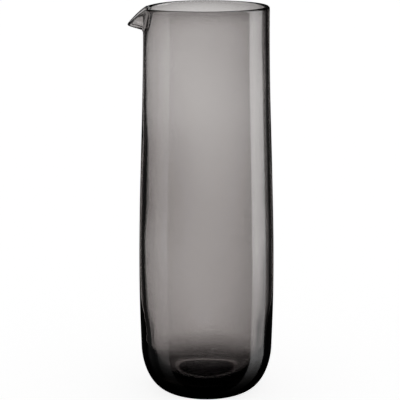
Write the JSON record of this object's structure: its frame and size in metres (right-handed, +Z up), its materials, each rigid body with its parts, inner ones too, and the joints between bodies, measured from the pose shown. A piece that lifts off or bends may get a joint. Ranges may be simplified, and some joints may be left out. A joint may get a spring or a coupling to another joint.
{
  "type": "glass carafe",
  "caption": "Tall smoked glass carafe, blown in one piece, with a heavy rounded bottom, an open rim and a drooping pouring lip.",
  "frame": {"origin": "centre of the flat underside of the foot, on the body's axis", "axes": "+Z up along the body's axis, from the foot to the rim; the pouring lip points to -X"},
  "size_m": [0.1002, 0.0942, 0.27],
  "materials": {
    "smoked_glass": "clear, fire polished"
  },
  "bodies": {
    "root": {"carafe_body": "smoked_glass"}
  },
  "joints": []
}
